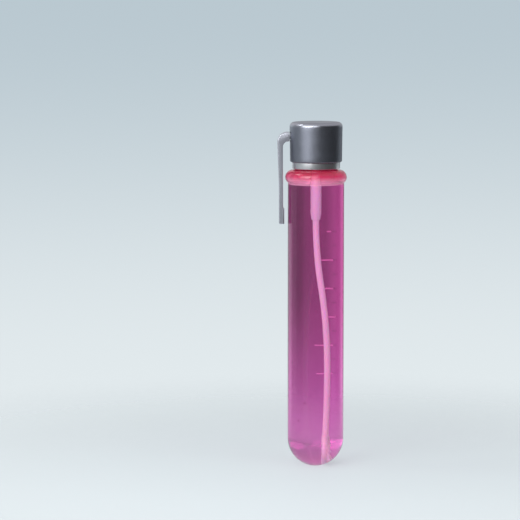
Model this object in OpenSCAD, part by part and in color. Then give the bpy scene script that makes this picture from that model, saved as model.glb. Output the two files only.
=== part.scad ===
// A pocket bubble wand: a clear round-ended tube with a threaded neck, a screw cap with
// a pocket clip, and a dipping wand that hangs from the cap down into the tube.
// Lengths are in millimetres and angles in degrees. The origin is the centre of the
// round end, on the tube's axis, and +Z points to the cap. The clip is on the -X side.
// The wand bows towards +X, and the ring at its tip is pierced along X.

/* [Tube] */
// Outside diameter of the barrel
tube_d = 19; // [17:0.5:22]
// Wall of the barrel and of the round end
tube_wall = 1; // [0.8:0.1:1.4]
// Height of the lip's centre above the centre of the round end
barrel_len = 89.1; // [80:0.1:110]
// How far the lip stands out from the barrel
lip_proud = 0.9; // [0.4:0.1:1.5]
// Radius of the lip's rounded section
lip_round = 2.5; // [2:0.1:3]
// Thickness of the shoulder between the lip and the neck
shoulder_wall = 1.1; // [0.8:0.1:1.5]
// Outside diameter of the neck, without its thread
neck_d = 13.9; // [13.4:0.1:14.6]
// Wall of the neck
neck_wall = 0.85; // [0.7:0.05:1.1]
// Height of the neck above the shoulder
neck_h = 8.5; // [8:0.1:10]

/* [Thread] */
// Rise of the thread in one turn
pitch = 2.5; // [2.3:0.1:2.8]
// Height of the thread's ridge above its wall
thread_depth = 0.5; // [0.4:0.05:0.6]
// Width of the ridge where it leaves its wall
thread_base = 1.5; // [1.3:0.05:1.6]
// Width of the ridge at its crest
thread_crest = 0.8; // [0.6:0.05:0.9]
// Length of the ridge in turns, which is also how far the cap turns before it is free
thread_turns = 1.25; // [1:0.05:1.4]
// Height of the ridge's lower end above the shoulder
thread_start = 3; // [2.8:0.1:3.4]

/* [Cap] */
// Height of the silver shell
shell_h = 13.5; // [13:0.1:16]
// Side wall of the shell
shell_wall = 0.6; // [0.5:0.05:0.8]
// Top wall of the shell
shell_top = 0.7; // [0.5:0.05:1]
// Radius on the shell's top edge
shell_round = 1; // [0.7:0.1:1.4]
// Chamfer on the shell's bottom edge
shell_chamfer = 0.35; // [0.2:0.05:0.45]
// Side wall of the liner behind its thread
liner_wall = 0.63; // [0.55:0.01:0.9]
// Height of the liner's skirt that shows below the shell
skirt_show = 2.2; // [1.6:0.1:2.6]
// How far the showing skirt is stepped in from the liner's side
skirt_step = 0.18; // [0.1:0.01:0.2]
// Thickness of the liner's deck
deck_t = 3.3; // [3.2:0.1:3.6]
// Wall of the liner above its deck
crown_wall = 1; // [0.8:0.1:1.3]

/* [Seal] */
// Thickness of the washer
washer_t = 0.9; // [0.6:0.1:1.2]
// Width of the washer's ring
washer_w = 1.9; // [1.5:0.1:2.1]

/* [Clip] */
// Width of the clip
clip_w = 4.4; // [3.6:0.1:5]
// Thickness of the clip's bar
clip_t = 1.4; // [1.1:0.1:1.8]
// Height of the arm where it meets the cap
arm_h = 3.1; // [2.8:0.1:3.4]
// Length of the clip from the top of its arm to the end of its foot
clip_len = 31; // [26:0.5:34]
// How much further out the bar stands at its top than at its foot
clip_lean = 0.6; // [0.2:0.1:1]
// Height of the foot
foot_h = 5.5; // [4:0.1:7]
// How far the foot stands in from the bar
foot_proud = 0.4; // [0.2:0.1:0.6]
// Radius of the bend between arm and bar, on the outside
bend_outer = 3.4; // [3:0.1:3.8]
// Radius of the bend between arm and bar, on the inside
bend_inner = 1.8; // [1:0.1:1.9]
// Height of the tongue that holds the clip in the cap
tongue_h = 1.8; // [1.4:0.1:1.9]
// Width of the tongue
tongue_w = 3.6; // [3:0.1:4]
// How far the tongue reaches in from the middle of the shell's wall
tongue_reach = 1.7; // [1.2:0.1:1.8]

/* [Wand] */
// Diameter of the sleeve
sleeve_d = 3; // [2.6:0.1:3.1]
// Length of the sleeve below the liner's deck
sleeve_len = 26.3; // [20:0.1:34]
// Length of the cone at the sleeve's lower end
sleeve_cone = 2.1; // [1:0.1:3]
// Wall of the sleeve at its lower end
sleeve_tip_wall = 0.25; // [0.2:0.05:0.4]
// Diameter of the collar that holds the sleeve in the cap
collar_d = 4.8; // [4.2:0.1:6]
// Thickness of the collar
collar_t = 0.9; // [0.6:0.1:1.2]
// Diameter of the stem
stem_d = 1.9; // [1.6:0.1:2]
// Length of the stem inside the sleeve
stem_grip = 9; // [6:0.5:14]
// Angle at which the stem leans out between its two bends
bow_lean = 6; // [0.5:0.5:7]
// Angle at which the stem leans back above the ring
bow_return = 2.2; // [0.4:0.2:3]
// Outside diameter of the ring
ring_d = 8.9; // [8.6:0.1:9.6]
// Width of the ring's rim, from hole to outside
ring_rim = 1.4; // [1.2:0.1:1.5]
// Thickness of the ring's rim
ring_t = 1.7; // [1.5:0.1:2]
// Gap between the ring and the bottom of the tube
ring_lift = 1; // [0.8:0.1:2]
// Ribs round the ring, which hold the liquid
rib_count = 20; // [12:1:24]
// Thickness of a rib
rib_t = 0.4; // [0.3:0.05:0.5]
// How far a rib stands out from each face of the ring
rib_proud = 0.25; // [0.15:0.05:0.3]

/* [Scale marks] */
// Number of long marks
mark_count = 6; // [3:1:7]
// Distance between long marks
mark_pitch = 9.66; // [8:0.01:11]
// Distance of the top long mark below the lip's centre
mark_drop = 18.7; // [12:0.1:22]
// Height of a mark
mark_h = 0.45; // [0.3:0.05:0.6]
// Depth of a mark
mark_depth = 0.2; // [0.1:0.05:0.3]
// Angle that a long mark spans round the tube
long_mark = 27; // [20:1:40]
// Angle that a short mark spans round the tube
short_mark = 15; // [8:1:20]
// Direction of the marks' right-hand ends, counted from +X towards +Y
mark_side = 68; // [50:1:80]

/* [Clearances] */
// Gap between the lip and the cap
cap_gap = 0.4; // [0.3:0.05:0.8]
// Gap between a ridge's crest and the wall that it faces
thread_gap = 0.2; // [0.15:0.05:0.3]
// Gap all round between the liner and the shell, which are bonded
bond_gap = 0.05; // [0.02:0.01:0.1]
// Gap above and below the washer
seal_gap = 0.05; // [0.02:0.01:0.1]
// Gap round the sleeve and its collar in the cap, and round the stem in the sleeve
pin_gap = 0.05; // [0.02:0.01:0.08]
// Gap between the clip's foot and the widest part of the lip
clip_gap = 0.3; // [0.2:0.05:0.6]
// Gap between the clip's arm and the shell
arm_gap = 0.3; // [0.25:0.05:0.4]
// Gap round the tongue in its pocket
tongue_gap = 0.35; // [0.3:0.05:0.4]

/* [Hidden] */
$fn = 96;

// One overrun serves every cut, and one sink every ridge or rib that grows from a wall
overrun = 0.5;
sink = 0.3;

tube_colour = [0.93, 0.32, 0.58, 0.45];
seal_colour = [0.93, 0.93, 0.9];
wand_colour = [0.96, 0.78, 0.87];
liner_colour = [0.62, 0.64, 0.68];
shell_colour = [0.56, 0.58, 0.63];

tube_r = tube_d / 2;
bore_r = tube_r - tube_wall;
lip_r = tube_r + lip_proud;
lip_ring_r = lip_r - lip_round;
shoulder_z = barrel_len + lip_round;
neck_r = neck_d / 2;
neck_bore_r = neck_r - neck_wall;
inner_round = bore_r - neck_bore_r;
inner_round_z = shoulder_z - shoulder_wall - inner_round;
rim_round = neck_wall / 2;
rim_z = shoulder_z + neck_h;

// The ridge's own steps, and the share of its length over which each end rises
steps_per_turn = 24;
thread_steps = ceil(thread_turns * steps_per_turn);
thread_fade_share = 0.1;
thread_z = shoulder_z + thread_start;
thread_bore_r = neck_r + thread_depth + thread_gap;

liner_r = thread_bore_r + liner_wall;
skirt_z = shoulder_z + cap_gap;
shell_bore_r = liner_r + bond_gap;
shell_r = shell_bore_r + shell_wall;
shell_z = skirt_z + skirt_show;
shell_top_z = shell_z + shell_h;
washer_z = rim_z + seal_gap;
washer_r = neck_r - seal_gap;
deck_z = washer_z + washer_t + seal_gap;
deck_top_z = deck_z + deck_t;
liner_top_z = shell_top_z - shell_top - bond_gap;

sleeve_r = sleeve_d / 2;
stem_r = stem_d / 2;
sleeve_z = deck_z - sleeve_len;
socket_r = stem_r + pin_gap;
sleeve_tip_r = socket_r + sleeve_tip_wall;
collar_z = deck_top_z - collar_t;

// The stem hangs straight from the sleeve, then bows out, back and a little in again.
// Each bend takes its share of the height between the sleeve and the ring.
ring_r = ring_d / 2;
ring_z = ring_lift - bore_r + ring_r;
ring_mid_r = ring_r - ring_rim / 2;
bow_shares = [0.3, 0.38, 0.32];
bow_h = sleeve_z - ring_z - ring_mid_r;
out_bend_r = bow_h * bow_shares[0] / sin(bow_lean);
back_bend_r = bow_h * bow_shares[1] / sin(bow_lean);
in_bend_r = bow_h * bow_shares[2] / sin(bow_return);
bow_x = (out_bend_r + back_bend_r) * (1 - cos(bow_lean));
bow_z = sleeve_z - bow_h * (bow_shares[0] + bow_shares[1]);
ring_x = bow_x - in_bend_r * (1 - cos(bow_return));

pivot_x = -(shell_r - shell_wall / 2);
pivot_z = deck_z + deck_t / 2;
arm_top_z = pivot_z + arm_h / 2;
arm_low_z = pivot_z - arm_h / 2;
foot_z = arm_top_z - clip_len;
foot_top_z = foot_z + foot_h;
foot_in_x = -(lip_r + clip_gap);
bar_in_x = foot_in_x - foot_proud;
bar_out_x = bar_in_x - clip_t;
bend_x = bar_out_x - clip_lean;
// Height, as a share of the bar's length from the foot, at which the bar starts to lean out
knee_share = 0.45;
knee_z = foot_z + (arm_low_z - foot_z) * knee_share;

// A ridge with a trapezium section that climbs a helix from low_z. It starts and ends
// inside its wall, whose radius is wall_r, and its crest is at crest_r between.
module thread_ridge(wall_r, crest_r, low_z) {
    way = sign(crest_r - wall_r);
    root_r = wall_r - way * sink;
    root_w = thread_crest + (thread_base - thread_crest) * (thread_depth + sink) / thread_depth;
    end_r = wall_r - way * sink / 2;
    points = [
        for (i = [0:thread_steps])
            let (
                share = i / thread_steps,
                angle = 360 * thread_turns * share,
                mid_z = low_z + pitch * thread_turns * share,
                rise = min(1, share / thread_fade_share, (1 - share) / thread_fade_share),
                tip_r = end_r + (crest_r - end_r) * rise,
                corners = [
                    [root_r, -root_w],
                    [tip_r, -thread_crest],
                    [tip_r, thread_crest],
                    [root_r, root_w]
                ]
            )
            for (corner = corners)
                [corner[0] * cos(angle), corner[0] * sin(angle), mid_z + way * corner[1] / 2]
    ];
    last = 4 * thread_steps;
    sides = [
        for (i = [0:thread_steps - 1])
            for (k = [0:3])
                let (
                    a = 4 * i + k,
                    b = 4 * i + (k + 1) % 4
                )
                each [[a, b, b + 4], [a, b + 4, a + 4]]
    ];
    ends = [[0, 3, 2], [0, 2, 1], [last, last + 1, last + 2], [last, last + 2, last + 3]];
    polyhedron(points = points, faces = concat(sides, ends), convexity = 6);
}

// A ring of round section lying flat at height z
module round_ring(ring_radius, section_r, z) {
    translate([0, 0, z])
        rotate_extrude()
            translate([ring_radius, 0])
                circle(r = section_r);
}

module tube_outside() {
    sphere(r = tube_r);
    cylinder(r = tube_r, h = barrel_len);
    round_ring(lip_ring_r, lip_round, barrel_len);
    translate([0, 0, barrel_len])
        cylinder(r = lip_ring_r, h = lip_round);
    cylinder(r = neck_r, h = rim_z - rim_round);
}

module tube_inside() {
    sphere(r = bore_r);
    cylinder(r = bore_r, h = inner_round_z);
    round_ring(neck_bore_r, inner_round, inner_round_z);
    cylinder(r = neck_bore_r, h = rim_z + overrun);
}

// A shallow groove round the outside of the tube, centred on the marks' direction
module scale_mark(z, span) {
    translate([0, 0, z - mark_h / 2])
        rotate([0, 0, mark_side])
            rotate_extrude(angle = span)
                translate([tube_r - mark_depth, 0])
                    square([mark_depth + overrun, mark_h]);
}

module scale_marks() {
    for (i = [0:mark_count - 1]) {
        scale_mark(barrel_len - mark_drop - i * mark_pitch, long_mark);
    }
    for (i = [0:mark_count - 2]) {
        scale_mark(barrel_len - mark_drop - (i + 0.5) * mark_pitch, short_mark);
    }
}

module tube() {
    color(tube_colour)
        difference() {
            union() {
                tube_outside();
                round_ring(neck_r - rim_round, rim_round, rim_z - rim_round);
                thread_ridge(neck_r, neck_r + thread_depth, thread_z);
            }
            tube_inside();
            scale_marks();
        }
}

module seal_washer() {
    color(seal_colour)
        translate([0, 0, washer_z])
            difference() {
                cylinder(r = washer_r, h = washer_t);
                translate([0, 0, -overrun])
                    cylinder(r = washer_r - washer_w, h = washer_t + 2 * overrun);
            }
}

// Half of the sleeve's section, with its coned lower end and its collar
module sleeve_section() {
    collar_low = collar_z - sleeve_z;
    collar_top = collar_low + collar_t;
    polygon([
        [0, 0],
        [sleeve_tip_r, 0],
        [sleeve_r, sleeve_cone],
        [sleeve_r, collar_low],
        [collar_d / 2, collar_low],
        [collar_d / 2, collar_top],
        [0, collar_top]
    ]);
}

module wand_sleeve() {
    color(wand_colour)
        difference() {
            translate([0, 0, sleeve_z])
                rotate_extrude()
                    sleeve_section();
            translate([0, 0, sleeve_z - overrun])
                cylinder(r = socket_r, h = stem_grip + seal_gap + overrun);
        }
}

// A ball on the stem's line, larger than the stem by pin_gap / 2, where two bends meet
module stem_joint(x, z) {
    translate([x, 0, z])
        sphere(r = stem_r + pin_gap / 2);
}

// A bend of the stem in the XZ plane about a centre, from one angle up to another
module stem_bend(centre_x, centre_z, bend_r, from, to) {
    translate([centre_x, 0, centre_z])
        rotate([90, 0, 0])
            rotate([0, 0, from])
                rotate_extrude(angle = to - from)
                    translate([bend_r, 0])
                        circle(r = stem_r);
}

module ring_section() {
    half = (ring_t - ring_rim) / 2;
    for (side = [-1, 1]) {
        translate([ring_mid_r, side * half])
            circle(r = ring_rim / 2);
    }
    translate([ring_mid_r - ring_rim / 2, -half])
        square([ring_rim, 2 * half]);
}

// The ring stands in the YZ plane, with a rib across both faces at each step round it
module wand_ring() {
    rib_len = ring_rim - 2 * rib_proud;
    rib_w = ring_t + 2 * rib_proud;
    translate([ring_x, 0, ring_z])
        rotate([0, 90, 0]) {
            rotate_extrude()
                ring_section();
            for (i = [0:rib_count - 1]) {
                rotate([0, 0, 360 * (i + 0.5) / rib_count])
                    translate([ring_mid_r - rib_len / 2, -rib_t / 2, -rib_w / 2])
                        cube([rib_len, rib_t, rib_w]);
            }
        }
}

module wand_stem() {
    color(wand_colour) {
        translate([0, 0, sleeve_z])
            cylinder(r = stem_r, h = stem_grip);
        stem_bend(out_bend_r, sleeve_z, out_bend_r, 180, 180 + bow_lean);
        stem_joint(out_bend_r * (1 - cos(bow_lean)), sleeve_z - out_bend_r * sin(bow_lean));
        stem_bend(bow_x - back_bend_r, bow_z, back_bend_r, 0, bow_lean);
        stem_joint(bow_x, bow_z);
        stem_bend(bow_x - in_bend_r, bow_z, in_bend_r, -bow_return, 0);
        wand_ring();
    }
}

module tongue_pocket() {
    pocket_w = tongue_w + 2 * tongue_gap;
    pocket_h = tongue_h + 2 * tongue_gap;
    outward = overrun + shell_wall;
    translate([pivot_x - outward, -pocket_w / 2, pivot_z - pocket_h / 2])
        cube([outward + tongue_reach + tongue_gap, pocket_w, pocket_h]);
}

// Half of the liner's outside section, stepped in where its skirt shows
module liner_section() {
    skirt_r = liner_r - skirt_step;
    step_h = skirt_show + bond_gap;
    liner_h = liner_top_z - skirt_z;
    polygon([
        [0, 0],
        [skirt_r, 0],
        [skirt_r, step_h],
        [liner_r, step_h],
        [liner_r, liner_h],
        [0, liner_h]
    ]);
}

// The collar lies in a recess in the deck, level with the deck's top
module cap_liner() {
    color(liner_colour)
        difference() {
            union() {
                difference() {
                    translate([0, 0, skirt_z])
                        rotate_extrude()
                            liner_section();
                    translate([0, 0, skirt_z - overrun])
                        cylinder(r = thread_bore_r, h = deck_z - skirt_z + overrun);
                }
                thread_ridge(thread_bore_r, thread_bore_r - thread_depth, thread_z - pitch / 2);
            }
            translate([0, 0, deck_top_z])
                cylinder(r = liner_r - crown_wall, h = liner_top_z - deck_top_z + overrun);
            translate([0, 0, collar_z - seal_gap])
                cylinder(r = collar_d / 2 + pin_gap, h = collar_t + seal_gap + overrun);
            translate([0, 0, deck_z - overrun])
                cylinder(r = sleeve_r + pin_gap, h = deck_t + 2 * overrun);
            tongue_pocket();
        }
}

// Half of the shell's section, with its rounded top edge and its chamfered bottom edge
module shell_section() {
    side_h = shell_h - shell_round;
    polygon([
        [0, 0],
        [shell_r - shell_chamfer, 0],
        [shell_r, shell_chamfer],
        [shell_r, side_h],
        [0, side_h]
    ]);
    square([shell_r - shell_round, shell_h]);
    translate([shell_r - shell_round, side_h])
        circle(r = shell_round);
}

module cap_shell() {
    color(shell_colour)
        difference() {
            translate([0, 0, shell_z])
                rotate_extrude()
                    shell_section();
            translate([0, 0, shell_z - overrun])
                cylinder(r = shell_bore_r, h = shell_h - shell_top + overrun);
            tongue_pocket();
        }
}

// The clip's outline in the XZ plane: the bar with its foot, and the arm that bends
// from the bar's top to the cap
module clip_outline() {
    bar_top_z = arm_low_z - bend_inner;
    polygon([
        [foot_in_x, foot_z],
        [foot_in_x, foot_top_z - foot_proud],
        [bar_in_x, foot_top_z],
        [bar_in_x, knee_z],
        [bend_x + clip_t, bar_top_z],
        [bend_x, bar_top_z],
        [bar_out_x, knee_z],
        [bar_out_x, foot_z]
    ]);
    intersection() {
        difference() {
            translate([bend_x, bar_top_z])
                square([pivot_x - bend_x, arm_top_z - bar_top_z]);
            translate([bend_x + clip_t + bend_inner, bar_top_z])
                circle(r = bend_inner);
            translate([bend_x + clip_t + bend_inner, bar_top_z])
                square([pivot_x - bend_x, arm_low_z - bar_top_z]);
        }
        union() {
            translate([bend_x + bend_outer, arm_top_z - bend_outer])
                circle(r = bend_outer);
            translate([bend_x + bend_outer, bar_top_z])
                square([pivot_x - bend_x, arm_top_z - bar_top_z]);
            translate([bend_x, bar_top_z])
                square([bend_outer, arm_top_z - bend_outer - bar_top_z]);
        }
    }
}

module pocket_clip() {
    color(shell_colour) {
        difference() {
            translate([0, clip_w / 2, 0])
                rotate([90, 0, 0])
                    linear_extrude(height = clip_w)
                        clip_outline();
            translate([0, 0, shell_z])
                cylinder(r = shell_r + arm_gap, h = shell_h);
        }
        translate([-(shell_r + arm_gap + sink), -tongue_w / 2, pivot_z - tongue_h / 2])
            cube([shell_r + arm_gap + sink + pivot_x + tongue_reach, tongue_w, tongue_h]);
    }
}

tube();
seal_washer();
wand_sleeve();
wand_stem();
cap_liner();
cap_shell();
pocket_clip();
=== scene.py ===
import math
import random

import bmesh
import bpy
from mathutils import Matrix, Vector

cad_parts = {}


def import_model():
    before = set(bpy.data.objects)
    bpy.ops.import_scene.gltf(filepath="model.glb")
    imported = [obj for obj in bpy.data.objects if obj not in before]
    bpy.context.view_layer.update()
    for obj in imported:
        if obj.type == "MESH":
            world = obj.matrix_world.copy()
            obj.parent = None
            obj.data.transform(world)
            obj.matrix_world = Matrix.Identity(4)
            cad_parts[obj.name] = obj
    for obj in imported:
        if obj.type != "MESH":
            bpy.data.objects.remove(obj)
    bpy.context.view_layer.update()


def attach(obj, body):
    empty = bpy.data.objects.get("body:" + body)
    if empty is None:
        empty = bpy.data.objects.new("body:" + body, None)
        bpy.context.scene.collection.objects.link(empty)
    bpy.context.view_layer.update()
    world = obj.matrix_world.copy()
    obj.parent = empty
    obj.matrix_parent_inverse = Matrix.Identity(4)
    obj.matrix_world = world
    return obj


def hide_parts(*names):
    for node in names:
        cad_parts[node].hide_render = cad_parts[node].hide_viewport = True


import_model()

MM = 0.001

# ---------------------------------------------------------------- sizes, in millimetres
# They are as the solids have them, apart from the wand, the spacing of the marks, the shell's
# draft and top edge, and the clip's bar. Z runs up the axis from the centre of the round end.
FIT = 0.05                        # gap between pieces that touch on the real object
TUBE_R, BORE_R = 9.5, 8.5
LIP_RING_R, LIP_ROUND, LIP_Z = 7.9, 2.5, 89.1
LIP_TINT_Z = 86.7                 # where the thick, deeper-coloured end of the tube begins; its darkest red, under the cap, is painted shade
SHOULDER_Z, SHOULDER_FILLET = 91.6, 0.4
NECK_R, NECK_BORE_R, RIM_Z, RIM_ROUND = 6.95, 6.1, 100.1, 0.425
INNER_ROUND, INNER_ROUND_Z = 2.4, 88.1
PITCH, THREAD_DEPTH, THREAD_BASE, THREAD_CREST, THREAD_TURNS = 2.5, 0.5, 1.5, 0.8, 1.25
THREAD_RUN_OUT = 0.1              # share of its length over which a thread rises at each end
MALE_Z, FEMALE_Z, LINER_BORE_R = 94.6, 93.35, 7.65
LINER_R, SKIRT_R, SKIRT_Z, STEP_Z, LINER_TOP = 8.28, 8.10, 92.0, 94.25, 106.95
DECK_Z, DECK_TOP, CROWN_R = 101.1, 104.4, 7.28
SHELL_R, SHELL_BORE_R, SHELL_Z, SHELL_TOP, SHELL_ROOF = 8.93, 8.33, 94.2, 107.7, 107.0
SHELL_EDGE, DRAFT = 1.5, 0.16
SEAL_R, SEAL_HOLE_R, SEAL_Z, SEAL_TOP, SEAL_EDGE = 6.9, 5.0, 100.15, 101.05, 0.1
# the wand is up to 0.2 mm finer than its solids on each side, and its bow 0.35 mm deeper
STEM_R, STEM_TOP = 0.83, 83.8
STEM_LEAN, STEM_BACK = 6.8, 2.45  # degrees off the axis, on the way out and at the ring
STEM_BENDS = 0.30, 0.38, 0.32     # shares of the stem's height, from the top down
SLEEVE_R, SLEEVE_TIP_R, SLEEVE_Z, SLEEVE_CONE, SOCKET_R = 1.38, 1.13, 74.8, 2.1, STEM_R + FIT
COLLAR_R, COLLAR_Z, COLLAR_EDGE = 2.4, 103.5, 0.1
RING_Z, RING_MID_R, RING_RIM, RING_T = -3.05, 3.75, 1.4, 1.5
RIBS, RIB_T, RIB_PROUD, RIB_EDGE = 20, 0.4, 0.15, 0.08
CLIP_W = 4.4
PIVOT_X, PIVOT_Z = -8.63, 102.75
TONGUE_H, TONGUE_W, TONGUE_REACH, TONGUE_GAP = 1.8, 3.6, 1.7, 0.35
MARKS, MARK_TOP, MARK_PITCH, MARK_HALF, MARK_DEPTH = 6, 70.16, 9.75, 0.225, 0.2
MARK_FROM, LONG_MARK, SHORT_MARK = 68, 27, 15   # degrees round the tube
# the angles between which each long mark is rough and paler, from the top down, a painted
# highlight for the light its relief catches; the rest of it is smooth
FROSTED_GLINTS = [(71, 77), (69, 86), (70, 86), (68.5, 82), (69, 91), (69.5, 88)]
LEVEL_Z = 86.9                    # the liquid's surface, away from the wall
WALL_RISE, WALL_REACH = 1.5, 1.1  # how far the liquid climbs the wall, and how far in it starts
ROD_RISE, ROD_REACH = 0.6, 0.7    # the same at the wand
BUBBLES, BUBBLE_MIN, BUBBLE_MAX, BUBBLE_GAP = 16, 0.12, 0.32, 0.08

# ---------------------------------------------------------------- how fine the meshes are
# Rows on a straight wall or a flat face keep its faces short and don't change its shape.
AROUND = 160                      # steps round a turned piece
DOME_END, DOME_STEPS = 88, 24     # a dome's arc stops 2 degrees short of its pole
SHARP_ANGLE = 32                  # degrees from which an edge is sharp
THREAD_ROW = 0.12                 # height of a row of faces across a thread
MALE_ROWS, FEMALE_ROWS = (93.3, 99.1), (99.2, 92.6)   # where those rows start and end
MARK_FLANK, MARK_CLEAR = 0.02, 0.6   # half a mark's steep side; other rows stay this far off


# ---------------------------------------------------------------- mesh helpers
def arc(cx, cz, r, start, end, steps):
    """Points of an arc, angles in degrees from +X (or +r) towards +Z."""
    return [
        (
            cx + r * math.cos(math.radians(start + (end - start) * i / steps)),
            cz + r * math.sin(math.radians(start + (end - start) * i / steps)),
        )
        for i in range(steps + 1)
    ]


def levels(start, end, step):
    """Heights from start up or down to end, both included, about step apart."""
    n = max(1, round(abs(end - start) / step))
    return [start + (end - start) * i / n for i in range(n + 1)]


def rounded(corners, steps):
    """A closed outline whose corners (x, z, radius) are rounded."""
    points = []
    for i, (x, z, r) in enumerate(corners):
        if not r:
            points.append((x, z))
            continue
        here = Vector((x, z))
        before = (Vector(corners[i - 1][:2]) - here).normalized()
        after = (Vector(corners[(i + 1) % len(corners)][:2]) - here).normalized()
        half = before.angle(after) / 2
        centre = here + (before + after).normalized() * (r / math.sin(half))
        first = here + before * (r / math.tan(half)) - centre
        last = here + after * (r / math.tan(half)) - centre
        turn = first.angle_signed(last)
        for k in range(steps + 1):
            p = centre + Matrix.Rotation(-turn * k / steps, 2) @ first
            points.append((p.x, p.y))
    return points


def mesh_from(bm, name):
    """A mesh made from bm, which goes away."""
    mesh = bpy.data.meshes.new(name)
    bm.to_mesh(mesh)
    bm.free()
    return mesh


def outward_mesh(name, verts, faces):
    """A closed mesh whose faces all look outwards."""
    mesh = bpy.data.meshes.new(name)
    mesh.from_pydata(verts, [], faces)
    bm = bmesh.new()
    bm.from_mesh(mesh)
    bmesh.ops.recalc_face_normals(bm, faces=bm.faces)
    bm.to_mesh(mesh)
    bm.free()
    return mesh


def make_object(name, mesh, angle=SHARP_ANGLE):
    """An object in the scene, smooth apart from the edges sharper than angle."""
    mesh.validate()
    for p in mesh.polygons:
        p.use_smooth = True
    mesh.set_sharp_from_angle(angle=math.radians(angle))
    obj = bpy.data.objects.new(name, mesh)
    bpy.context.scene.collection.objects.link(obj)
    return obj


def revolve(name, rows, ring=False, radius=None, around=AROUND):
    """Turns rows (r, z) round Z. Rows with r = 0 are poles. ring joins the last row to the first.
    radius(r, z, degrees) may move a point in or out."""
    verts, faces, index = [], [], []
    for r, z in rows:
        if r == 0:
            index.append([len(verts)] * around)
            verts.append((0, 0, z * MM))
            continue
        index.append(list(range(len(verts), len(verts) + around)))
        for i in range(around):
            degrees = 360 * i / around
            rr = radius(r, z, degrees) if radius else r
            a = math.radians(degrees)
            verts.append((rr * math.cos(a) * MM, rr * math.sin(a) * MM, z * MM))
    for low, high in zip(index, index[1:] + index[:1] if ring else index[1:]):
        for i in range(around):
            j = (i + 1) % around
            face = [low[i], low[j], high[j], high[i]]
            faces.append([v for k, v in enumerate(face) if v not in face[:k]])
    return make_object(name, outward_mesh(name, verts, faces))


def sweep(name, path, section, closed=False):
    """A section (u, v) carried along path, a list of (point, u direction, v direction)."""
    verts, faces = [], []
    n, m = len(section), len(path)
    for p, u, v in path:
        verts += [tuple((p + u * a + v * b) * MM) for a, b in section]
    for i in range(m if closed else m - 1):
        j = (i + 1) % m
        for k in range(n):
            after = (k + 1) % n
            faces.append([i * n + k, i * n + after, j * n + after, j * n + k])
    if not closed:
        faces.append(list(range(n - 1, -1, -1)))
        faces.append(list(range((m - 1) * n, m * n)))
    return make_object(name, outward_mesh(name, verts, faces))


def block(name, low, high, bevel=0.0):
    """A box between two corners, in millimetres, with bevelled edges."""
    bm = bmesh.new()
    bmesh.ops.create_cube(bm, size=1)
    size = Vector(high) - Vector(low)
    bmesh.ops.scale(bm, vec=size * MM, verts=bm.verts)
    bmesh.ops.translate(bm, vec=(Vector(low) + Vector(high)) / 2 * MM, verts=bm.verts)
    if bevel:
        bmesh.ops.bevel(bm, geom=bm.edges[:], offset=bevel * MM, segments=2, profile=0.5,
                        affect="EDGES")
    return make_object(name, mesh_from(bm, name))


def join_as(name, obj, others, operation, angle=SHARP_ANGLE):
    """obj united with, or cut by, the others, which go away."""
    for other in others:
        mod = obj.modifiers.new("join", "BOOLEAN")
        mod.operation, mod.solver, mod.object = operation, "EXACT", other
    dg = bpy.context.evaluated_depsgraph_get()
    mesh = bpy.data.meshes.new_from_object(obj.evaluated_get(dg))
    for other in others + [obj]:
        bpy.data.objects.remove(other)
    mesh.name = name
    return make_object(name, mesh, angle)


# ---------------------------------------------------------------- materials
def add_node(tree, kind, **values):
    node = tree.nodes.new(kind)
    for key, value in values.items():
        setattr(node, key, value)
    return node


def put(tree, value, socket):
    """Gives a socket a number, a colour or another socket's output."""
    if isinstance(value, float):
        socket.default_value = value
    elif isinstance(value, tuple):
        socket.default_value = (*value, 1)
    else:
        tree.links.new(value, socket)


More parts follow.
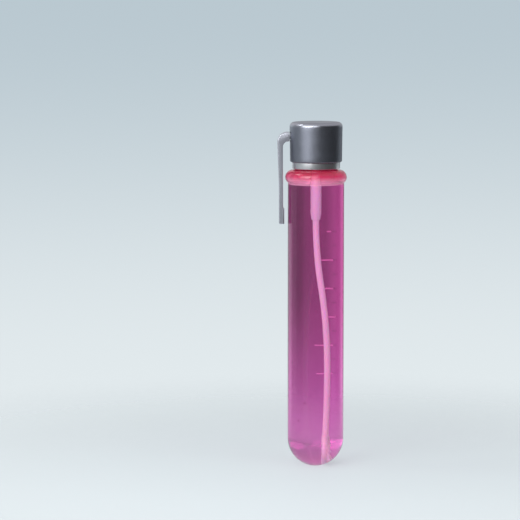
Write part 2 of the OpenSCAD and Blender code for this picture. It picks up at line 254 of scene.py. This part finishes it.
class Nodes:
    """Short calls for a material's node tree."""

    def __init__(self, name):
        self.mat = bpy.data.materials.new(name)
        self.mat.use_nodes = True
        self.tree = self.mat.node_tree
        self.tree.nodes.clear()
        self.out = self.add("ShaderNodeOutputMaterial")
        self.bsdf = self.add("ShaderNodeBsdfPrincipled")
        self.link(self.bsdf.outputs[0], self.out.inputs["Surface"])
        self.coords = self.add("ShaderNodeTexCoord").outputs["Object"]

    def add(self, kind, **values):
        return add_node(self.tree, kind, **values)

    def link(self, a, b):
        self.tree.links.new(a, b)

    def set(self, **values):
        """Numbers and colours of the surface, such as Base_Color=(r, g, b)."""
        for key, value in values.items():
            put(self.tree, value, self.bsdf.inputs[key.replace("_", " ")])

    def feed(self, source, name="Base Color"):
        """Links an output to an input of the surface."""
        self.link(source, self.bsdf.inputs[name])

    def noise(self, size, stretch=(1, 1, 1), detail=3):
        """Noise whose grain is about size millimetres."""
        mapping = self.add("ShaderNodeMapping")
        mapping.inputs["Scale"].default_value = stretch
        self.link(self.coords, mapping.inputs["Vector"])
        tex = self.add("ShaderNodeTexNoise")
        tex.inputs["Scale"].default_value = 1 / (size * MM)
        tex.inputs["Detail"].default_value = detail
        tex.inputs["Roughness"].default_value = 0.55
        self.link(mapping.outputs[0], tex.inputs["Vector"])
        return tex.outputs["Fac"]

    def ramp(self, source, stops):
        """Colours or greys at the given places between 0 and 1."""
        node = self.add("ShaderNodeValToRGB")
        elements = node.color_ramp.elements
        while len(elements) < len(stops):
            elements.new(0.5)
        for element, (position, colour) in zip(elements, stops):
            rgb = colour if isinstance(colour, tuple) else (colour, colour, colour)
            element.position = position
            element.color = (*rgb, 1)
        self.link(source, node.inputs[0])
        return node.outputs[0]

    def bump(self, source, height):
        """Relief of about height millimetres."""
        node = self.add("ShaderNodeBump")
        node.inputs["Strength"].default_value = 1
        node.inputs["Distance"].default_value = height * MM
        self.link(source, node.inputs["Height"])
        self.feed(node.outputs[0], "Normal")

    def height_share(self, low, high):
        """0 at height low to 1 at height high, in millimetres."""
        split = self.add("ShaderNodeSeparateXYZ")
        self.link(self.coords, split.inputs[0])
        node = self.add("ShaderNodeMapRange")
        node.inputs["From Min"].default_value = low * MM
        node.inputs["From Max"].default_value = high * MM
        self.link(split.outputs[2], node.inputs["Value"])
        return node.outputs[0]

    def between(self, share, start, end):
        """start where share is 0, end where it is 1."""
        node = self.add("ShaderNodeMix", data_type="RGBA" if isinstance(end, tuple) else "FLOAT")
        put(self.tree, share, node.inputs["Factor"])
        put(self.tree, start, node.inputs["A"])
        put(self.tree, end, node.inputs["B"])
        return node.outputs["Result"]

    def let_lamps_through(self, tint):
        """Glass that lamps and the light bounced off what is inside pass straight through."""
        path = self.add("ShaderNodeLightPath")
        either = self.add("ShaderNodeMath", operation="MAXIMUM")
        self.link(path.outputs["Is Shadow Ray"], either.inputs[0])
        self.link(path.outputs["Is Diffuse Ray"], either.inputs[1])
        clear = self.add("ShaderNodeBsdfTransparent")
        clear.inputs["Color"].default_value = (*tint, 1)
        mix = self.add("ShaderNodeMixShader")
        self.link(either.outputs[0], mix.inputs[0])
        self.link(self.bsdf.outputs[0], mix.inputs[1])
        self.link(clear.outputs[0], mix.inputs[2])
        self.link(mix.outputs[0], self.out.inputs["Surface"])


# what lamps lose in one pass through a wall of the tube, and through the liquid's surface
WALL_TINT, LIQUID_TINT = (0.985, 0.965, 0.975), (0.985, 0.97, 0.98)


def tube_material():
    m = Nodes("tube_pink")
    m.set(Roughness=0.04, IOR=1.5, Transmission_Weight=1.0)
    # the barrel is paler towards the round end and deeper towards the top: painted shade that
    # darkens its upper part
    m.feed(m.ramp(m.height_share(-9.5, 92), [
        (0.02, (0.98, 0.60, 0.88)),
        (0.25, (0.96, 0.51, 0.84)),
        (0.50, (0.93, 0.46, 0.76)),
        (0.93, (0.90, 0.43, 0.71)),
    ]))
    m.bump(m.noise(6, detail=2), 0.004)
    m.let_lamps_through(WALL_TINT)
    return m.mat


def lip_material():
    m = Nodes("tube_pink_thick")
    m.set(Roughness=0.06, IOR=1.5, Transmission_Weight=0.72)
    # deeper pink where the plastic is thick; the dark red at the top, under the cap, is painted
    # shade
    m.feed(m.ramp(m.height_share(86, 92), [
        (0.1, (1.0, 0.48, 0.70)),
        (0.42, (1.0, 0.40, 0.60)),
        (0.60, (0.92, 0.11, 0.26)),
        (0.80, (0.66, 0.03, 0.11)),
    ]))
    m.bump(m.noise(3, detail=2), 0.006)
    m.let_lamps_through(WALL_TINT)
    return m.mat


def mark_material():
    m = Nodes("tube_mark")
    # the marks' pale colour and milky share are a painted highlight for the light their relief
    # catches
    m.set(Base_Color=(1.0, 0.74, 0.86), Roughness=0.45, IOR=1.5, Transmission_Weight=0.35)
    m.bump(m.noise(0.2), 0.01)
    m.let_lamps_through(WALL_TINT)
    return m.mat


def liquid_material():
    m = Nodes("bubble_liquid")
    m.set(Base_Color=(0.86, 0.56, 0.75), Roughness=0.0, IOR=1.33, Transmission_Weight=1.0)
    m.let_lamps_through(LIQUID_TINT)
    return m.mat


def wand_material():
    """A milky plastic, pinker towards the ring."""
    m = Nodes("wand_plastic")
    clean = m.ramp(m.noise(7, detail=2), [(0.3, (0.90, 0.95, 0.89)), (0.7, (0.95, 0.99, 0.94))])
    m.feed(m.between(m.height_share(50, 8), clean, (0.84, 0.75, 0.73)))
    m.set(Roughness=0.38, IOR=1.5, Subsurface_Weight=0.4, Subsurface_Scale=0.0015)
    m.bump(m.noise(0.25), 0.004)
    return m.mat


def silver_material():
    """A metallic plastic, shinier at the cap's top edge, where its paler colour is a painted
    highlight.
    """
    m = Nodes("silver_plastic")
    grain = m.noise(0.35, stretch=(1, 1, 6), detail=4)
    edge = m.ramp(m.height_share(105.9, 107.7), [(0.0, 0.0), (0.35, 1.0), (0.80, 1.0), (1.0, 0.2)])
    colour = m.ramp(grain, [(0.3, (0.212, 0.226, 0.272)), (0.7, (0.286, 0.303, 0.36))])
    # the paler colour along the top edge is a painted highlight; the lower roughness there is the
    # edge's own
    m.feed(m.between(edge, colour, (0.38, 0.395, 0.45)))
    rough = m.ramp(m.noise(2.5, detail=4), [(0.3, 0.39), (0.7, 0.46)])
    m.feed(m.between(edge, rough, 0.30), "Roughness")
    m.set(Metallic=0.95, IOR=1.5)
    m.bump(grain, 0.004)
    return m.mat


def clip_material():
    m = Nodes("clip_plastic")
    grain = m.noise(0.3, detail=4)
    m.feed(m.ramp(grain, [(0.3, (0.37, 0.385, 0.44)), (0.7, (0.44, 0.455, 0.515))]))
    m.set(Metallic=0.5, Roughness=0.26, IOR=1.5)
    m.bump(grain, 0.0015)
    return m.mat


def liner_material():
    m = Nodes("liner_plastic")
    m.feed(m.ramp(m.noise(3), [(0.3, (0.70, 0.71, 0.74)), (0.7, (0.80, 0.81, 0.84))]))
    m.set(Metallic=0.95, Roughness=0.35, IOR=1.5)
    m.bump(m.noise(0.3), 0.003)
    return m.mat


def seal_material():
    m = Nodes("seal_foam")
    m.feed(m.ramp(m.noise(0.4, detail=5), [(0.3, (0.70, 0.70, 0.66)), (0.7, (0.86, 0.86, 0.83))]))
    m.set(Roughness=0.8)
    m.bump(m.noise(0.2, detail=5), 0.03)
    return m.mat


# ---------------------------------------------------------------- the tube and its liquid
def thread_height(z, degrees, low_z):
    """How far the ridge stands out of its wall at this place. The ridge starts at low_z."""
    best = 0.0
    for turn in (0, 1):
        share = (degrees + 360 * turn) / (360 * THREAD_TURNS)
        if share > 1:
            continue
        middle = low_z + PITCH * THREAD_TURNS * share
        flank = (THREAD_BASE / 2 - abs(z - middle)) / ((THREAD_BASE - THREAD_CREST) / 2)
        flank = max(0, min(1, flank))
        rise = min(1, share / THREAD_RUN_OUT, (1 - share) / THREAD_RUN_OUT)
        best = max(best, THREAD_DEPTH * flank * flank * (3 - 2 * flank) * rise)
    return best


# each mark's height and its angle round the tube, from the top down; every second one is short
MARK_ROWS = [
    (MARK_TOP - i * MARK_PITCH / 2, SHORT_MARK if i % 2 else LONG_MARK)
    for i in range(2 * MARKS - 1)
]


def on_mark(z, degrees):
    """Whether this place of the barrel lies in a mark."""
    return any(
        abs(z - mark_z) < MARK_HALF and MARK_FROM <= degrees <= MARK_FROM + span
        for mark_z, span in MARK_ROWS
    )


def is_frosted_glint(z, degrees):
    """Whether this place of the barrel lies in the rough, paler part of a long mark, a painted
    highlight.
    """
    return any(
        abs(z - mark_z) < MARK_HALF and first < degrees < last
        for (mark_z, _), (first, last) in zip(MARK_ROWS[::2], FROSTED_GLINTS)
    )


def tube():
    lip_start = math.degrees(math.asin((TUBE_R - LIP_RING_R) / LIP_ROUND))
    lip_low = LIP_Z - LIP_ROUND * math.cos(math.radians(lip_start))
    heights = set(levels(0, lip_low, step=5)[1:-1]) | {LIP_TINT_Z}
    for mark_z, _ in MARK_ROWS:
        heights = {z for z in heights if abs(z - mark_z) > MARK_CLEAR}
        for mark_edge in (mark_z - MARK_HALF, mark_z + MARK_HALF):
            heights |= {mark_edge - MARK_FLANK, mark_edge + MARK_FLANK}

    rows = [(0, -TUBE_R)] + arc(0, 0, TUBE_R, -DOME_END, 0, DOME_STEPS)
    rows += [(TUBE_R, z) for z in sorted(heights)]
    rows += arc(LIP_RING_R, LIP_Z, LIP_ROUND, lip_start - 90, 90, steps=26)
    fillet = SHOULDER_FILLET
    rows += arc(NECK_R + fillet, SHOULDER_Z + fillet, fillet, 270, 180, steps=4)
    rows += [(NECK_R, z) for z in levels(*MALE_ROWS, THREAD_ROW)]
    rows += arc(NECK_R - RIM_ROUND, RIM_Z - RIM_ROUND, RIM_ROUND, 0, 180, steps=8)
    neck_low = INNER_ROUND_Z + INNER_ROUND
    rows += [(NECK_BORE_R, z) for z in levels(RIM_Z - 2, neck_low + 1, step=3)]
    rows += arc(NECK_BORE_R, INNER_ROUND_Z, INNER_ROUND, 90, 0, steps=14)
    rows += [(BORE_R, z) for z in [LIP_TINT_Z] + levels(80, 2, step=6)]
    rows += arc(0, 0, BORE_R, 0, -DOME_END, DOME_STEPS) + [(0, -BORE_R)]

    def radius(r, z, degrees):
        if r == NECK_R:
            return r + thread_height(z, degrees, MALE_Z)
        if r == TUBE_R and on_mark(z, degrees):
            return r - MARK_DEPTH
        return r

    obj = revolve("tube_body", rows, radius=radius)
    for material in (tube_material(), mark_material(), lip_material()):
        obj.data.materials.append(material)
    mark_index, lip_index = 1, 2
    for p in obj.data.polygons:
        c = p.center / MM
        out, degrees = math.hypot(c.x, c.y), math.degrees(math.atan2(c.y, c.x))
        in_cut = TUBE_R - MARK_DEPTH * 1.2 < out < TUBE_R - MARK_DEPTH / 3
        if c.z > LIP_TINT_Z:
            p.material_index = lip_index
        elif in_cut and is_frosted_glint(c.z, degrees):
            p.material_index = mark_index
    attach(obj, "tube")
    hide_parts("tube")


def liquid():
    wall = BORE_R + 0.03          # slightly into the wall, so that no air shows between them

    def surface(r):
        """Height of the liquid, which climbs the wall and the wand."""
        at_wall = WALL_RISE * math.exp(-(wall - r) / WALL_REACH)
        at_rod = ROD_RISE * math.exp(-max(0, r - SLEEVE_R) / ROD_REACH)
        return LEVEL_Z + at_wall + at_rod

    rows = [(0, -wall)] + arc(0, 0, wall, -DOME_END, 0, DOME_STEPS)
    rows += [(wall, z) for z in levels(6, 84, step=6)]
    # rings lie close together where the surface is steep: at the wall, and again at the wand
    first_gap, growth = 0.12, 1.25
    radii = [wall] + [wall - first_gap * growth ** k for k in range(12)]
    radii += [3.5, 3.0, 2.6, 2.3, 2.0, 1.8, 1.6, 1.4, 1.0]
    rows += [(r, surface(r)) for r in radii] + [(0, surface(0))]
    obj = revolve("bubble_liquid", rows)

    rng = random.Random(7)
    near_top, anywhere = (76, 84.5), (2, 80)
    bm = bmesh.new()
    bm.from_mesh(obj.data)
    for _ in range(BUBBLES):
        size = rng.uniform(BUBBLE_MIN, BUBBLE_MAX)
        turn = rng.uniform(0, 2 * math.pi)
        out = BORE_R - size - BUBBLE_GAP
        z = rng.choice([rng.uniform(*near_top), rng.uniform(*anywhere)])
        place = Matrix.Translation(Vector((out * math.cos(turn), out * math.sin(turn), z)) * MM)
        made = bmesh.ops.create_icosphere(bm, subdivisions=2, radius=size * MM, matrix=place)
        # a bubble is a hollow in the liquid, so its faces look inwards
        faces = {f for v in made["verts"] for f in v.link_faces}
        bmesh.ops.reverse_faces(bm, faces=list(faces))
    for f in bm.faces:
        f.smooth = True
    bm.to_mesh(obj.data)
    bm.free()
    obj.data.materials.append(liquid_material())
    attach(obj, "tube")


# ---------------------------------------------------------------- the cap
def pocket(name):
    """The slot for the clip's tongue, with its gap, from outside the shell inwards."""
    half_w, half_h = TONGUE_W / 2 + TONGUE_GAP, TONGUE_H / 2 + TONGUE_GAP
    outside = 1.1
    return block(name, (PIVOT_X - outside, -half_w, PIVOT_Z - half_h),
                 (PIVOT_X + TONGUE_REACH + TONGUE_GAP, half_w, PIVOT_Z + half_h))


def cap():
    r, low, top, edge = SHELL_R, SHELL_Z, SHELL_TOP, SHELL_EDGE
    rows = [(x, top) for x in (0, 3, 6)] + arc(r - edge, top - edge, edge, 90, 0, steps=10)
    rows += [(r - DRAFT * (top - z) / (top - low), z) for z in levels(top - 3, low + 1.5, step=3)]
    r = SHELL_R - DRAFT
    big, small, chamfer, corner = 0.3, 0.12, 0.08, 0.2
    rows += arc(r - big, low + big + small, big, 0, -45, steps=3)
    rows += arc(r - big - small, low + small, small, -45, -90, steps=2)
    rows += [(SHELL_BORE_R + chamfer, low), (SHELL_BORE_R, low + chamfer)]
    rows += [(SHELL_BORE_R, z) for z in levels(low + 2, SHELL_ROOF - 2, step=4)]
    rows += arc(SHELL_BORE_R - corner, SHELL_ROOF - corner, corner, 0, 90, steps=3)
    rows += [(4, SHELL_ROOF), (0, SHELL_ROOF)]
    blank = revolve("shell_blank", rows)
    shell = join_as("cap_shell_cup", blank, [pocket("shell_pocket")], "DIFFERENCE")
    shell.data.materials.append(silver_material())
    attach(shell, "cap")
    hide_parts("cap_shell")

    skirt_edge, bore_edge = 0.15, 0.12
    hole_r, recess_r, recess_z = SLEEVE_R + FIT, COLLAR_R + FIT, COLLAR_Z - FIT
    rows = arc(SKIRT_R - skirt_edge, SKIRT_Z + skirt_edge, skirt_edge, -90, 0, steps=3)
    rows += [(SKIRT_R, STEP_Z), (LINER_R, STEP_Z)]
    rows += [(LINER_R, z) for z in levels(STEP_Z + 2, LINER_TOP - 1, step=4)]
    rows += [(LINER_R, LINER_TOP), (CROWN_R, LINER_TOP), (CROWN_R, DECK_TOP)]
    rows += [(recess_r, DECK_TOP), (recess_r, recess_z), (hole_r, recess_z), (hole_r, DECK_Z)]
    rows += [(LINER_BORE_R, DECK_Z)]
    rows += [(LINER_BORE_R, z) for z in levels(*FEMALE_ROWS, THREAD_ROW)]
    rows += [(LINER_BORE_R, SKIRT_Z + skirt_edge), (LINER_BORE_R + bore_edge, SKIRT_Z)]

    def radius(r, z, degrees):
        return r - thread_height(z, degrees, FEMALE_Z) if r == LINER_BORE_R else r

    blank = revolve("liner_blank", rows, ring=True, radius=radius)
    liner = join_as("cap_liner_insert", blank, [pocket("liner_pocket")], "DIFFERENCE")
    liner.data.materials.append(liner_material())
    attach(liner, "cap")
    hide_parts("cap_liner")


def seal():
    r, hole, low, top, edge, middle = SEAL_R, SEAL_HOLE_R, SEAL_Z, SEAL_TOP, SEAL_EDGE, 6
    rows = [(r, low + edge), (r, top - edge), (r - edge, top), (middle, top)]
    rows += [(hole + edge, top), (hole, top - edge), (hole, low + edge), (hole + edge, low)]
    rows += [(middle, low), (r - edge, low)]
    obj = revolve("seal_ring", rows, ring=True, around=96)
    obj.data.materials.append(seal_material())
    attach(obj, "seal")
    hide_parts("seal_washer")


# ---------------------------------------------------------------- the wand
def stem_path():
    """The stem's centreline from the socket down to the ring, as (x, z) in millimetres, with its
    three bends, and the x at which it meets the ring."""
    lean, back = math.radians(STEM_LEAN), math.radians(STEM_BACK)
    h = SLEEVE_Z - (RING_Z + RING_MID_R)
    upper, middle, lower = STEM_BENDS
    r1 = h * upper / math.sin(lean)
    r2 = h * middle / math.sin(lean)
    r3 = h * lower / math.sin(back)
    # the last two bends meet here, where the stem stands furthest out and runs straight down
    x2 = (r1 + r2) * (1 - math.cos(lean))
    z2 = SLEEVE_Z - h * (upper + middle)

    def bend(x, z, across, along, angle, steps):
        """Points of a bend from (x, z), where it runs straight down or up, to angle."""
        turns = [angle * i / steps for i in range(steps + 1)]
        return [(x + across * (1 - math.cos(a)), z + along * math.sin(a)) for a in turns]

    points = [(0, z) for z in levels(STEM_TOP, SLEEVE_Z + 1, step=2)]
    points += bend(0, SLEEVE_Z, r1, -r1, lean, 14)
    points += bend(x2, z2, -r2, r2, lean, 16)[-2::-1]
    points += bend(x2, z2, -r3, -r3, back, 14)[1:]
    return points, x2 - r3 * (1 - math.cos(back))


def wand():
    material = wand_material()
    low, tip, cone, edge = SLEEVE_Z, SLEEVE_TIP_R, SLEEVE_Z + SLEEVE_CONE, COLLAR_EDGE
    socket_top, mouth, tip_edge, ease = STEM_TOP + FIT, 0.05, 0.06, 0.1
    rows = [(0, socket_top), (SOCKET_R, socket_top), (SOCKET_R, low + mouth)]
    rows += [(SOCKET_R + mouth, low), (tip - tip_edge, low), (tip, low + tip_edge)]
    rows += [(SLEEVE_R - ease / 5, cone - ease), (SLEEVE_R, cone + ease)]
    rows += [(SLEEVE_R, z) for z in levels(low + 5, COLLAR_Z - 1, step=5)]
    rows += [(SLEEVE_R, COLLAR_Z), (COLLAR_R - edge, COLLAR_Z), (COLLAR_R, COLLAR_Z + edge)]
    rows += [(COLLAR_R, DECK_TOP - edge), (COLLAR_R - edge, DECK_TOP), (0, DECK_TOP)]
    sleeve = revolve("wand_grip_sleeve", rows, around=64)
    sleeve.data.materials.append(material)
    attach(sleeve, "wand")
    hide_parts("wand_sleeve")

    line, ring_x = stem_path()
    side = Vector((0, 1, 0))
    path = []
    for i, (x, z) in enumerate(line):
        a, b = line[max(0, i - 1)], line[min(len(line) - 1, i + 1)]
        along = Vector((b[0] - a[0], 0, b[1] - a[1])).normalized()
        path.append((Vector((x, 0, z)), side, along.cross(side)))
    stem = sweep("stem_blank", path, arc(0, 0, STEM_R, 0, 360, steps=24)[:-1])

    half, rim_r = (RING_T - RING_RIM) / 2, RING_RIM / 2
    section = arc(0, half, rim_r, 0, 180, steps=10) + arc(0, -half, rim_r, 180, 360, steps=10)
    centre = Vector((ring_x, 0, RING_Z))
    path, steps = [], 120
    for i in range(steps):
        a = 2 * math.pi * i / steps
        out = Vector((0, math.cos(a), math.sin(a)))
        path.append((centre + out * RING_MID_R, out, Vector((1, 0, 0))))
    ring = sweep("ring_blank", path, section, closed=True)

    ribs = []
    rib_len, rib_w = RING_RIM - 2 * RIB_PROUD, RING_T + 2 * RIB_PROUD
    for i in range(RIBS):
        rib = block("rib_%d" % i, (-rib_w / 2, RING_MID_R - rib_len / 2, -RIB_T / 2),
                    (rib_w / 2, RING_MID_R + rib_len / 2, RIB_T / 2), bevel=RIB_EDGE)
        turned = Matrix.Rotation(2 * math.pi * (i + 0.5) / RIBS, 4, "X")
        rib.data.transform(Matrix.Translation(centre * MM) @ turned)
        ribs.append(rib)
    wand_rod = join_as("wand_rod_and_ring", ring, ribs + [stem], "UNION", angle=40)
    wand_rod.data.materials.clear()
    wand_rod.data.materials.append(material)
    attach(wand_rod, "wand")
    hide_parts("wand_stem")


# ---------------------------------------------------------------- the clip
def clip():
    """A bar bent over the cap's side, seen from the front as an outline and CLIP_W wide."""
    foot_in, bar_in, bar_top_in, bar_out, bend, root = -10.7, -11.1, -11.2, -12.5, -13.2, -8.2
    foot_z, foot_top, knee, arm_low, arm_top = 73.3, 78.8, 85.86, 101.2, 104.3
    inner, outer, at_knee, at_tip, small, rim = 1.8, 3.4, 3.0, 0.5, 0.15, 0.28
    foot_step, arm_gap, overlap, tongue_edge = 0.4, 0.3, 0.6, 0.12
    outline = rounded([
        (foot_in, foot_z, small),
        (foot_in, foot_top - foot_step, small),
        (bar_in, foot_top, 2 * small),
        (bar_top_in, arm_low, inner),
        (root, arm_low, 0),
        (root, arm_top, 0),
        (bend, arm_top, outer),
        (bar_out, knee, at_knee),
        (bar_out, foot_z, at_tip),
    ], steps=8)
    bm = bmesh.new()
    near = [bm.verts.new((x * MM, -CLIP_W / 2 * MM, z * MM)) for x, z in outline]
    made = bmesh.ops.extrude_face_region(bm, geom=[bm.faces.new(near)])
    far = [v for v in made["geom"] if isinstance(v, bmesh.types.BMVert)]
    bmesh.ops.translate(bm, vec=(0, CLIP_W * MM, 0), verts=far)
    bmesh.ops.recalc_face_normals(bm, faces=bm.faces)
    rims = [e for e in bm.edges if abs(e.verts[0].co.y - e.verts[1].co.y) < 1e-7]
    bmesh.ops.bevel(bm, geom=rims, offset=rim * MM, segments=3, profile=0.5, affect="EDGES")
    blank = make_object("clip_blank", mesh_from(bm, "clip_blank"))

    # the arm ends arm_gap short of the shell, and only the tongue goes on into it
    cut_r, cut_low, cut_top = SHELL_R + arm_gap, 90, 112
    drum = [(0, cut_low), (cut_r, cut_low), (cut_r, cut_top), (0, cut_top)]
    cutter = revolve("clip_cutter", drum)
    blank = join_as("clip_bar", blank, [cutter], "DIFFERENCE")
    half_w, half_h = TONGUE_W / 2, TONGUE_H / 2
    tongue = block("clip_tongue", (-(SHELL_R + overlap), -half_w, PIVOT_Z - half_h),
                   (PIVOT_X + TONGUE_REACH, half_w, PIVOT_Z + half_h), bevel=tongue_edge)
    obj = join_as("pocket_clip_bar", blank, [tongue], "UNION")
    obj.data.materials.clear()
    obj.data.materials.append(clip_material())
    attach(obj, "clip")
    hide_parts("pocket_clip")


tube()
liquid()
cap()
seal()
wand()
clip()


# ---------------------------------------------------------------- floor, light and camera
# places and sizes here are in metres
PALE, DEEP = (0.76, 0.82, 0.845), (0.49, 0.58, 0.635)
SOFTBOX_WHITE, LAMPLIGHT = (0.90, 0.88, 0.90), (0.93, 0.97, 1.0)
FLOOR_R, FADE_FROM, FADE_TO = 0.23, 0.03, 0.22
UP, DOWN = (0, 0, 1), (0, 0, -1)
CAMERA_PLACE, CAMERA_TILT = (-0.0189, -0.8951, 0.1550), 84   # degrees from looking straight down


def floor():
    """A pale disc that fades out into the backdrop."""
    bm = bmesh.new()
    bmesh.ops.create_circle(bm, cap_ends=True, segments=96, radius=FLOOR_R)
    obj = bpy.data.objects.new("floor", mesh_from(bm, "floor"))
    obj.location.z = -TUBE_R * MM
    bpy.context.scene.collection.objects.link(obj)
    m = Nodes("floor_pale")
    m.set(Base_Color=PALE, Roughness=0.7)
    dist = m.add("ShaderNodeVectorMath", operation="LENGTH")
    m.link(m.coords, dist.inputs[0])
    fade = m.add("ShaderNodeMapRange", interpolation_type="SMOOTHSTEP")
    fade.inputs["From Min"].default_value = FADE_FROM
    fade.inputs["From Max"].default_value = FADE_TO
    m.link(dist.outputs["Value"], fade.inputs["Value"])
    mix = m.add("ShaderNodeMixShader")
    m.link(fade.outputs[0], mix.inputs[0])
    m.link(m.bsdf.outputs[0], mix.inputs[1])
    m.link(m.add("ShaderNodeBsdfTransparent").outputs[0], mix.inputs[2])
    m.link(mix.outputs[0], m.out.inputs["Surface"])
    obj.data.materials.append(m.mat)


def world():
    """A pale backdrop, deeper above than below, as the camera sees it. What glass and metal see
    of the room has bright and dark parts, which the photograph shows through the tube."""
    w = bpy.data.worlds.new("studio")
    bpy.context.scene.world = w
    w.use_nodes = True
    nt = w.node_tree
    nt.nodes.clear()

    def add(kind, **values):
        return add_node(nt, kind, **values)

    def facing(direction, low, high, dim, bright):
        """dim where the cosine to direction is at most low, bright where it is at least high."""
        dot = add("ShaderNodeVectorMath", operation="DOT_PRODUCT")
        dot.inputs[1].default_value = Vector(direction).normalized()
        nt.links.new(coords.outputs["Generated"], dot.inputs[0])
        span = add("ShaderNodeMapRange", interpolation_type="SMOOTHSTEP")
        limits = (("From Min", low), ("From Max", high), ("To Min", dim), ("To Max", bright))
        for name, value in limits:
            put(nt, value, span.inputs[name])
        nt.links.new(dot.outputs["Value"], span.inputs["Value"])
        return span.outputs[0]

    def scale(source, low, high):
        """low where source is 0, high where it is 1."""
        node = add("ShaderNodeMapRange")
        put(nt, low, node.inputs["To Min"])
        put(nt, high, node.inputs["To Max"])
        nt.links.new(source, node.inputs["Value"])
        return node.outputs[0]

    def blend(source, low, high):
        """The same for colours."""
        node = add("ShaderNodeMix", data_type="RGBA")
        put(nt, low, node.inputs["A"])
        put(nt, high, node.inputs["B"])
        nt.links.new(source, node.inputs["Factor"])
        return node.outputs["Result"]

    def combine(operation, first, *others):
        """MAXIMUM or MULTIPLY over all of them."""
        result = first
        for other in others:
            node = add("ShaderNodeMath", operation=operation)
            nt.links.new(result, node.inputs[0])
            nt.links.new(other, node.inputs[1])
            result = node.outputs[0]
        return result

    out = add("ShaderNodeOutputWorld")
    coords = add("ShaderNodeTexCoord")
    path = add("ShaderNodeLightPath")
    by_camera = path.outputs["Is Camera Ray"]
    by_transmission = path.outputs["Is Transmission Ray"]

    # behind the tube: dark, apart from its left, a strip in the middle, and what is low down
    low = facing(DOWN, 0.105, 0.167, 0.0, 1.0)
    off_level = combine("MAXIMUM", low, facing(UP, -0.085, -0.025, 0.0, 0.9))
    dim = scale(off_level, 0.145, 0.68)
    left = facing((-0.985, 0.174, 0), 0.0, 0.85, dim, 1.0)
    middle = facing((-0.07, 1, 0), 0.90, 0.996, dim, scale(off_level, 0.40, 0.72))
    below = facing((-0.5, 0.866, 0), 0.88, 0.97, 0.0, scale(low, 0.0, 1.07))
    right = facing((0.87, 0.5, 0), 0.80, 0.95, 0.0, scale(low, 0.32, 1.12))
    back = combine("MAXIMUM", left, middle, below, right)
    for half in ((-0.26, 0.966, 0), (0.17, 0.985, 0)):
        back = combine("MULTIPLY", back, facing(half, 0.0, 0.5, 0.0, 1.0))

    # seen only through the tube: a window on the left, the ground and the room in front
    window = facing((-0.866, 0.5, 0), 0.80, 0.97, 0.0, facing(UP, 0.0, 0.2, 1.5, 0.8))
    ground = facing(DOWN, 0.185, 0.265, 0.0, 1.0)
    front = facing((0.3, -0.954, 0), 0.12, 0.30, 0.0, 0.75)
    through = scale(by_transmission, 0.0, combine("MAXIMUM", window, ground, front))

    # seen by metal as well: a wide soft light at the left and a softbox above
    side = facing((-1, 0.5, 0.1), -0.6, 0.9, 0.01, 0.45)
    above = facing((0, 0.25, 0.968), 0.27, 0.60, 0.0, 1.0)
    room = combine("MAXIMUM", side, scale(above, 0.0, 0.72), back, through)

    tone = blend(scale(by_camera, 0.0, facing(UP, -0.155, -0.005, 0.0, 1.0)), PALE, DEEP)
    softbox = scale(by_camera, above, 0.0)
    backdrop = add("ShaderNodeBackground")
    nt.links.new(blend(softbox, tone, SOFTBOX_WHITE), backdrop.inputs["Color"])
    nt.links.new(scale(by_camera, room, 1.0), backdrop.inputs["Strength"])
    light = add("ShaderNodeBackground")
    put(nt, LAMPLIGHT, light.inputs["Color"])
    put(nt, 0.42, light.inputs["Strength"])
    seen = combine("MAXIMUM", by_camera, path.outputs["Is Glossy Ray"], by_transmission)
    mix = add("ShaderNodeMixShader")
    nt.links.new(seen, mix.inputs[0])
    nt.links.new(light.outputs[0], mix.inputs[1])
    nt.links.new(backdrop.outputs[0], mix.inputs[2])
    nt.links.new(mix.outputs[0], out.inputs["Surface"])


def lamp(name, place, target, size, watts, mirrored=True):
    """An area lamp at place that looks at target. Gloss shows it only if it is mirrored."""
    data = bpy.data.lights.new(name, "AREA")
    data.shape, data.size, data.size_y = "RECTANGLE", size[0], size[1]
    data.energy = watts
    obj = bpy.data.objects.new(name, data)
    obj.location = place
    obj.rotation_euler = (Vector(target) - Vector(place)).to_track_quat("-Z", "Y").to_euler()
    obj.visible_glossy = mirrored
    bpy.context.scene.collection.objects.link(obj)


def camera():
    data = bpy.data.cameras.new("camera")
    data.lens, data.sensor_width = 184.0, 36.0
    obj = bpy.data.objects.new("camera", data)
    obj.location = CAMERA_PLACE
    obj.rotation_euler = (math.radians(CAMERA_TILT), 0, 0)
    bpy.context.scene.collection.objects.link(obj)
    bpy.context.scene.camera = obj


floor()
world()
lamp("key", (-0.40, -0.42, 0.29), (0, 0, 0.06), (0.42, 0.42), 1.7)
lamp("front", (-0.14, -0.50, 0.36), (0, 0, 0.05), (0.40, 0.40), 1.2)
lamp("glint", (-0.46, -0.53, 0.277), (0, 0, 0.10), (0.10, 0.10), 0.3)
lamp("fill", (0.40, -0.35, 0.40), (0, 0, 0.05), (0.40, 0.40), 1.2, mirrored=False)
lamp("rim", (-0.45, 0.02, 0.55), (0, 0, 0.10), (0.16, 0.16), 0.5)
camera()
bpy.context.scene.view_settings.view_transform = "Standard"
